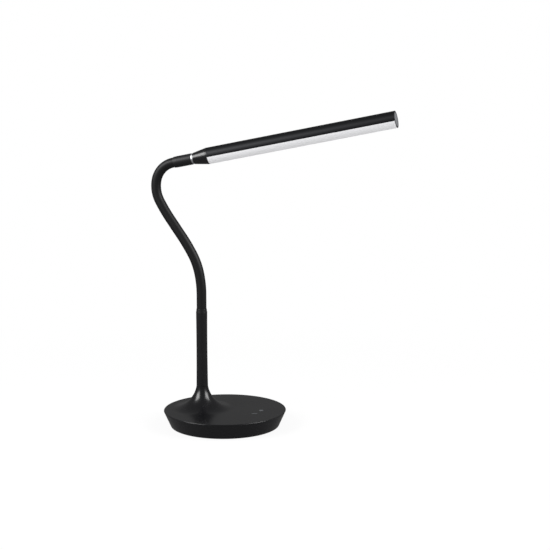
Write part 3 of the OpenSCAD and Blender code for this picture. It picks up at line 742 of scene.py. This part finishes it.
def base_cover(sizes, material):
    """The base and its flared foot in one skin, from the foot's bore over the top to the inside and back."""
    low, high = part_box("base_cover")
    foot_z, seam_z, stem_x, bore = low.z, high.z, STEM_AT.x, STEM.start_bore
    foot_flat = max(math.hypot(p.x, p.y) for p in node_points("base_cover") if p.z < foot_z + AT_LEVEL)
    rim_centre = (high.y - sizes.rim_round, TOP_Z - sizes.rim_round)
    foot_centre = (foot_flat, foot_z + sizes.foot_round)
    run = Vector(rim_centre) - Vector(foot_centre)
    outward = math.degrees(
        math.atan2(run.y, run.x) - math.acos((sizes.foot_round - sizes.rim_round) / run.length)
    )

    def inner_radius(z):
        """The radius of the side's inner face at a height."""
        side = math.radians(outward)
        offset = (sizes.foot_round - sizes.base_wall) / math.cos(side)
        return foot_centre[0] + offset - (z - foot_centre[1]) * math.tan(side)

    flare_z = TOP_Z + sizes.flare_radius
    flare_x = STEM.start_radius + math.sqrt(sizes.flare_radius ** 2 - (flare_z - seam_z) ** 2)
    flare = (flare_x, flare_z)
    seam_angle = math.degrees(math.asin((flare_z - seam_z) / sizes.flare_radius))
    core = sizes.flare_radius + sizes.base_wall + 0.4 * MM  # the flare's wall is thicker than the top's
    ceiling = TOP_Z - sizes.base_wall
    core_low = math.degrees(math.asin((flare_z - ceiling) / core))
    core_high = math.degrees(math.acos((flare_x - sizes.boss_radius) / core))

    # Circles of (centre x, radius, height). Those just inside the edges of the flat top and of the side keep
    # the roundings' soft shading off them.
    circles = [(stem_x, bore, seam_z)]
    circles += [(stem_x, x, z) for x, z in arc(flare, sizes.flare_radius, 180 + seam_angle, 270, steps=56)]
    for part in (0.01, 0.2, 0.4, 0.6, 0.8, 0.99):
        circles.append((stem_x * (1 - part), flare_x + (rim_centre[0] - flare_x) * part, TOP_Z))
    rim = arc(rim_centre, sizes.rim_round, 90, outward, steps=10)
    foot = arc(foot_centre, sizes.foot_round, outward, -90, steps=8)
    side = Vector(foot[0]) - Vector(rim[-1])
    guards = [Vector(rim[-1]) + part * side for part in (0.03, 0.97)]
    circles += [(0, x, z) for x, z in [*rim, *guards, *foot]]
    circles += [(0, inner_radius(z), z) for z in (foot_z, ceiling)]
    circles += [(stem_x, x, z) for x, z in arc(flare, core, 180 + core_low, 180 + core_high, steps=12)]
    circles += [(stem_x, radius, sizes.boss_bottom) for radius in (sizes.boss_radius, bore)]
    piece = skinned("cover_moulding", [
        [(x + radius * math.cos(a), radius * math.sin(a), z) for a in round_angles(count=224)]
        for x, radius, z in circles
    ])
    inside_of_cover(piece, sizes, ceiling, flare)
    finish_piece(piece, material, "base", "base_cover")


def touch_marks(sizes, material):
    """The printed marks. The round one, further to +X, has its hole filled, so that it reads as a dot."""
    low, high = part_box("touch_marks")
    mesh, rise = frame["nodes"]["touch_marks"].data, sizes.print_rise * UP
    faces = [tuple(face.vertices) for face in mesh.polygons]
    marks = mesh_object("printed_marks", [v.co + rise for v in mesh.vertices], faces)
    rightmost = [p for p in node_points("touch_marks") if p.x > high.x - AT_LEVEL]
    centre = Vector((high.x - sizes.dot_radius, middle(rightmost).y, low.z + sizes.print_rise))
    radius, thick = sizes.dot_radius - sizes.dot_stroke / 2, high.z - low.z
    outline = [(0, 0), (0, radius), (thick, radius), (thick, 0)]
    combine(marks, [turned("dot", outline, centre, UP, segments=48)], "UNION")
    finish_piece(marks, material, "base", "touch_marks")


class LAMP_OT_base(bpy.types.Operator):
    """Makes the base cover with its flared foot, and the printed touch marks"""

    bl_idname = "lamp.base"
    bl_label = "Base"

    def execute(self, context):
        sizes, colours = context.scene.lamp_sizes, context.scene.lamp_colours
        base_cover(sizes, satin_abs("Satin moulded ABS", colours.cover, 0.25, specular=0.44))
        touch_marks(sizes, plain_plastic("Printed ink", colours.print, 0.3, grain_mm=0.2))
        return {"FINISHED"}


# -------- pieces of the stem and the gooseneck

class LAMP_OT_stem(bpy.types.Operator):
    """Makes the stem, a plain powder-coated tube with broken edges"""

    bl_idname = "lamp.stem"
    bl_label = "Stem"

    def execute(self, context):
        sizes, colours = context.scene.lamp_sizes, context.scene.lamp_colours
        top, bore = STEM.end, SLEEVE_RADIUS + SLEEVE_GAP
        ledge, lip_round = top - sizes.sleeve_inset, 0.1 * MM
        side = STEM.skin(SLEEVE_RADIUS + 0.3 * MM)
        # The node's skin is chamfered at the very top, so its radius is taken below that.
        radius = side[-1][1] if side[-1][0] < top - 0.2 * MM else side[-2][1]
        reach, depth = sizes.shoulder_length, sizes.shoulder_depth
        shoulder = arc((0, 0), 1, 10, 80, steps=7)
        outline = rounded([
            (STEM.start, STEM.start_bore), side[0],
            *[(a, r, 0) for a, r in side[1:] if a < top - reach - 1 * MM],
            (top - reach, radius, 0),
            *[(top - reach * (1 - y), radius - depth * (1 - x), 0) for x, y in shoulder],
            (top, radius - depth, lip_round), (top, bore, lip_round), (ledge, bore, 0),
            (ledge, STEM.start_bore, 0),
        ], sizes.edge_break)
        piece = turned("stem_pipe", outline, STEM_AT, UP)
        paint = satin_paint("Satin powder coat", colours.paint, 0.34)
        finish_piece(piece, paint, "base", "stem_tube")
        return {"FINISHED"}


class LAMP_OT_gooseneck(bpy.types.Operator):
    """Makes the silicone sleeve in lengths, one round each of the neck's joints, meeting halfway between
    them
    """

    bl_idname = "lamp.gooseneck"
    bl_label = "Gooseneck"

    def execute(self, context):
        sizes, colours = context.scene.lamp_sizes, context.scene.lamp_colours
        rubber = silicone("Extruded silicone", colours.sleeve)
        tree = sleeve_tree()
        step, reach = 0.55 * MM, 9 * MM
        ends = [-sizes.sleeve_inset]
        ends += [(a + b) / 2 for a, b in zip(STATIONS, STATIONS[1:])]
        ends.append(NECK_LENGTH + sizes.sleeve_inset)
        for k, joint in enumerate(frame["joints"]):
            piece = neck_line(f"sleeve_{k + 1}", ends[k], ends[k + 1], step)
            values = {"Radius": SLEEVE_RADIUS, "Sides": 56, "Material": rubber}
            grown(piece, tree, values, sizes.sleeve_wall)
            finish_piece(piece, rubber)
            heading = on_neck(STATIONS[k])[1]
            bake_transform(piece)
            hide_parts(f"neck_sleeve_{k}", f"neck_sleeve_{k + 1}")
        return {"FINISHED"}


# -------- pieces of the light bar

def round_bar_piece(name, node, material, rounding, corners, segments=96):
    """Turns and finishes a round piece of the bar from its (along, radius) corners."""
    piece = turned(name, rounded(corners, rounding), BAR_POINT, BAR_WAY, segments)
    finish_piece(piece, material, "light_bar", node)


def half_tube(name, node, material, start, wall, edge_up, floor_up, upper):
    """Makes and finishes one half of the bar's tube, from the heights of its outer edge and inner face."""
    radius, way = HOUSING.end_radius, 1 if upper else -1
    outlines = []
    for across, up in ((radius, edge_up), (radius - wall, floor_up)):
        low = math.degrees(math.asin(up / across))
        outlines.append(arc((0, 0), across, low, way * 180 - low, steps=72))
    piece = bar_extrusion(name, *outlines, closed=upper, start=start)
    finish_piece(piece, material, "light_bar", node, sharp=25)


class LAMP_OT_bar(bpy.types.Operator):
    """Makes the ferrule, ring, cone, housing, diffuser and end cap of the light bar"""

    bl_idname = "lamp.bar"
    bl_label = "Light bar"

    def execute(self, context):
        sizes, colours = context.scene.lamp_sizes, context.scene.lamp_colours
        brk = sizes.edge_break

        paint = satin_paint("Satin powder coat, ferrule", colours.paint, 0.5, specular=0.4)
        bore, mouth = SLEEVE_RADIUS + SLEEVE_GAP, FERRULE.start - sizes.ferrule_lip
        mouth_radius, taper_end = (bore + FERRULE.start_radius) / 2 + 0.1 * MM, FERRULE.start + 1 * MM
        seat = FERRULE.start + sizes.sleeve_inset
        round_bar_piece("ferrule", "head_ferrule", paint, brk, [
            (mouth, bore), (mouth, mouth_radius), (taper_end, FERRULE.start_radius),
            (FERRULE.end, FERRULE.end_radius), (FERRULE.end, FERRULE.end_bore), (seat, FERRULE.end_bore),
            (seat, bore),
        ])

        chrome = plated_metal("Chrome plate", colours.chrome, 0.4, 0.46)
        round_bar_piece("bright_ring", "chrome_ring", chrome, brk, [
            (RING.start, RING.start_bore), (RING.start, RING.start_radius), (RING.end, RING.end_radius),
            (RING.end, RING.end_bore),
        ])

        moulded = satin_abs("Satin moulded ABS, nose cone", colours.cover, 0.28)
        bar_start, land_round = HOUSING.start + sizes.cone_land / 4, 4 * MM
        round_bar_piece("cone", "nose_cone", moulded, 0.6 * brk, [
            (CONE.start, RING.end_bore), (CONE.start, CONE.start_radius),
            (bar_start - sizes.cone_land, HOUSING.start_radius, land_round),
            (bar_start, HOUSING.start_radius), (bar_start, RING.end_bore),
        ], segments=128)

        anodised = anodised_extrusion("Black anodised aluminium", colours.housing)
        half_tube(
            "housing", "head_housing", anodised, bar_start, wall=sizes.housing_wall,
            edge_up=PARTING, floor_up=PARTING + sizes.housing_wall, upper=True,
        )
        opal, lip = opal_polycarbonate("Opal polycarbonate", colours.diffuser), PARTING - 0.06 * MM
        half_tube(
            "opal_diffuser", "diffuser", opal, bar_start, wall=sizes.diffuser_wall,
            edge_up=lip, floor_up=lip, upper=False,
        )

        moulded = satin_abs("Satin moulded ABS, cap", colours.cover, 0.3)
        silver = plated_metal("Satin silver plate", colours.silver, 0.36, 0.46)
        radius = HOUSING.end_radius
        disc_radius, disc_back, floor = radius - sizes.cap_rim, CAP_END - 0.12 * MM, CAP_END - 0.25 * MM
        round_bar_piece("cap_rim", "end_cap", moulded, 0.1 * MM, [
            (HOUSING.end, 0), (HOUSING.end, radius), (CAP_END, radius), (CAP_END, disc_radius),
            (floor, disc_radius), (floor, 0),
        ], segments=128)
        round_bar_piece("cap_disc", "end_cap", silver, 0.04 * MM, [
            (floor, 0), (floor, disc_radius), (disc_back, disc_radius), (disc_back, 0),
        ], segments=128)
        return {"FINISHED"}


# -------- pieces kept from the frame

def dress(material, *nodes):
    """Gives CAD nodes a material in place of their own."""
    for node in nodes:
        mesh = frame["nodes"][node].data
        mesh.materials.clear()
        mesh.materials.append(material)


class LAMP_OT_inside(bpy.types.Operator):
    """Finishes the pieces inside the base, the neck and the bar, and under the base"""

    bl_idname = "lamp.inside"
    bl_label = "Inside and underside"

    def execute(self, context):
        links = range(len(STATIONS) + 1)
        zinc = plated_metal("Zinc-plated steel", linear("#9da0a4"), 0.3, 0.42)
        dress(zinc, "base_weight", "plate_screws", "board_screws", "touch_pads", "stem_stud", "stem_washer")
        dress(zinc, "stem_nut", "nose_screw")
        spring = plated_metal("Oiled spring wire", linear("#6f7276"), 0.25, 0.35)
        dress(spring, *[f"neck_core_{k}" for k in links])
        brass = plated_metal("Turned brass", linear("#c2a35a"), 0.22, 0.3)
        dress(brass, "neck_root_bush", "neck_head_bush", "inlet_pin")
        pvc = plain_plastic("Soft PVC", linear("#d8d8d6"), 0.45)
        dress(pvc, "supply_lead", "led_leads", *[f"neck_lead_{k}" for k in links])
        dress(plain_plastic("Green solder mask", linear("#1d5c3c"), 0.3), "touch_board")
        dress(plain_plastic("White solder mask", linear("#ecece8"), 0.4), "led_board")
        dress(plain_plastic("Phosphor and resin", linear("#e9dc8a"), 0.3), "leds")
        dress(plain_plastic("Textured ABS", linear("#1a1b1c"), 0.5, 0.6), "bottom_plate", "inlet_housing")
        dress(plain_plastic("Foam rubber", linear("#202021"), 0.85, 0.8), "foot_pad")
        return {"FINISHED"}


# -------- stage

CAMERA_AT = Vector((483.08, -1481.72, 426.10)) * MM
CAMERA_WAY = Vector((-0.26896, 0.95112, -0.15178)).normalized()
LAMP_MIDDLE = Vector((40, 0, 190)) * MM
WHITE = (1, 1, 1, 1)


def seen_directly(tree):
    """1 for rays that show the white ground: the camera's, reflected and refracted ones. 0 for the rest."""
    path = add_node(tree, "ShaderNodeLightPath")
    sharp = add_node(tree, "ShaderNodeMath", {
        0: path.outputs["Is Camera Ray"], 1: path.outputs["Is Glossy Ray"],
    }, operation="MAXIMUM")
    return add_node(tree, "ShaderNodeMath", {
        0: sharp.outputs["Value"], 1: path.outputs["Is Transmission Ray"],
    }, operation="MAXIMUM").outputs["Value"]


def floor_material():
    """White card. Near the lamp it keeps a soft shadow, and further out it is plain white."""
    material, tree = start_material("White card floor")
    place = add_node(tree, "ShaderNodeTexCoord").outputs["Object"]
    far = add_node(tree, "ShaderNodeVectorMath", {0: place}, operation="LENGTH")
    whiteness = add_node(tree, "ShaderNodeMapRange", {
        "Value": far.outputs["Value"], "From Min": 0.2, "From Max": 0.7, "To Min": 0.9, "To Max": 1.0,
    }, interpolation_type="SMOOTHSTEP")
    part = add_node(tree, "ShaderNodeMath", {
        0: whiteness.outputs["Result"], 1: seen_directly(tree),
    }, operation="MULTIPLY")
    card = add_node(tree, "ShaderNodeBsdfDiffuse", {"Color": (0.8, 0.8, 0.8, 1)})
    glow = add_node(tree, "ShaderNodeEmission", {"Color": WHITE, "Strength": 1.0})
    shader = add_node(tree, "ShaderNodeMixShader", {
        0: part.outputs["Value"], 1: card.outputs["BSDF"], 2: glow.outputs["Emission"],
    })
    material.cycles.emission_sampling = "NONE"
    return end_material(material, shader)


def grey_surround(brightness):
    """Grey cloth under and round the lamp that only glossy surfaces show, so that black stays black."""
    radius, low, height = 1.9, 0.3 * MM, 3.0
    outline = [(low, 0), (low, radius), (height, radius), (height, 0)]
    cloth = turned("surround", outline, Vector(), UP, segments=64)
    material, tree = start_material("Grey cloth surround")
    end_material(material, add_node(tree, "ShaderNodeEmission", {"Color": WHITE, "Strength": brightness}))
    material.cycles.emission_sampling = "NONE"
    cloth.data.materials.append(material)
    cloth.visible_camera = cloth.visible_diffuse = cloth.visible_shadow = False
    cloth.visible_transmission = cloth.visible_volume_scatter = False


def soft_light(name, right, ahead, up, power):
    """A soft box that faces the lamp's middle, at a place from it in metres as the camera sees it."""
    light = bpy.data.lights.new(name, "AREA")
    light.shape = "RECTANGLE"
    light.size, light.size_y, light.energy = 1.0, 0.8, power
    box = bpy.data.objects.new(name, light)
    bpy.context.scene.collection.objects.link(box)
    level = Vector((CAMERA_WAY.x, CAMERA_WAY.y, 0)).normalized()
    box.location = LAMP_MIDDLE + right * level.cross(UP) + ahead * level + up * UP
    box.rotation_euler = (LAMP_MIDDLE - box.location).to_track_quat("-Z", "Y").to_euler()


class LAMP_OT_stage(bpy.types.Operator):
    """Sets up the floor, the backdrop, the lights and the camera"""

    bl_idname = "lamp.stage"
    bl_label = "Stage"

    def execute(self, context):
        scene, settings = context.scene, context.scene.lamp_stage
        scene.view_settings.view_transform = "Standard"
        camera = bpy.data.cameras.new("Camera")
        camera.sensor_width, camera.lens, camera.clip_end = 36, settings.lens, 50
        view = bpy.data.objects.new("Camera", camera)
        scene.collection.objects.link(view)
        view.location = CAMERA_AT
        view.rotation_euler = CAMERA_WAY.to_track_quat("-Z", "Y").to_euler()
        scene.camera = view

        half = 6.0
        corners = [(-half, -half, 0), (half, -half, 0), (half, half, 0), (-half, half, 0)]
        floor = mesh_object("floor", corners, [(0, 1, 2, 3)])
        floor.data.materials.append(floor_material())
        grey_surround(settings.surround)

        world = bpy.data.worlds.new("Studio")
        world.use_nodes = True
        tree = world.node_tree
        tree.nodes.clear()
        strength = add_node(tree, "ShaderNodeMapRange", {
            "Value": seen_directly(tree), "To Min": settings.sky, "To Max": 1.0,
        })
        light = add_node(tree, "ShaderNodeBackground", {
            "Color": WHITE, "Strength": strength.outputs["Result"],
        })
        add_node(tree, "ShaderNodeOutputWorld", {"Surface": light.outputs["Background"]})
        scene.world = world

        soft_light("Left box", right=-1.24, ahead=-0.6, up=0.82, power=settings.left_power)
        soft_light("Right box", right=1.27, ahead=-0.46, up=0.82, power=settings.right_power)
        return {"FINISHED"}


# -------- add-on

class LAMP_PT_panel(bpy.types.Panel):
    """Lists the lamp's pieces and settings"""

    bl_idname = "LAMP_PT_panel"
    bl_label = "Desk Lamp"
    bl_space_type = "VIEW_3D"
    bl_region_type = "UI"
    bl_category = "Desk Lamp"

    def draw(self, context):
        for operator in OPERATORS:
            self.layout.operator(operator.bl_idname)
        for group in GROUPS:
            settings = getattr(context.scene, group)
            for name in settings.bl_rna.properties.keys():
                if name not in ("rna_type", "name"):
                    self.layout.prop(settings, name)


GROUPS = {"lamp_sizes": LampSizes, "lamp_colours": LampColours, "lamp_stage": LampStage}
OPERATORS = [LAMP_OT_stage, LAMP_OT_base, LAMP_OT_stem, LAMP_OT_gooseneck, LAMP_OT_bar, LAMP_OT_inside]


def register():
    for name, group in GROUPS.items():
        bpy.utils.register_class(group)
        setattr(bpy.types.Scene, name, bpy.props.PointerProperty(type=group))
    for operator in OPERATORS:
        bpy.utils.register_class(operator)
    bpy.utils.register_class(LAMP_PT_panel)


def unregister():
    bpy.utils.unregister_class(LAMP_PT_panel)
    for operator in reversed(OPERATORS):
        bpy.utils.unregister_class(operator)
    for name, group in GROUPS.items():
        delattr(bpy.types.Scene, name)
        bpy.utils.unregister_class(group)


def main():
    register()
    bpy.ops.lamp.stage()
    bpy.ops.lamp.base()
    bpy.ops.lamp.stem()
    bpy.ops.lamp.gooseneck()
    bpy.ops.lamp.bar()
    bpy.ops.lamp.inside()


if __name__ == "__main__":
    main()
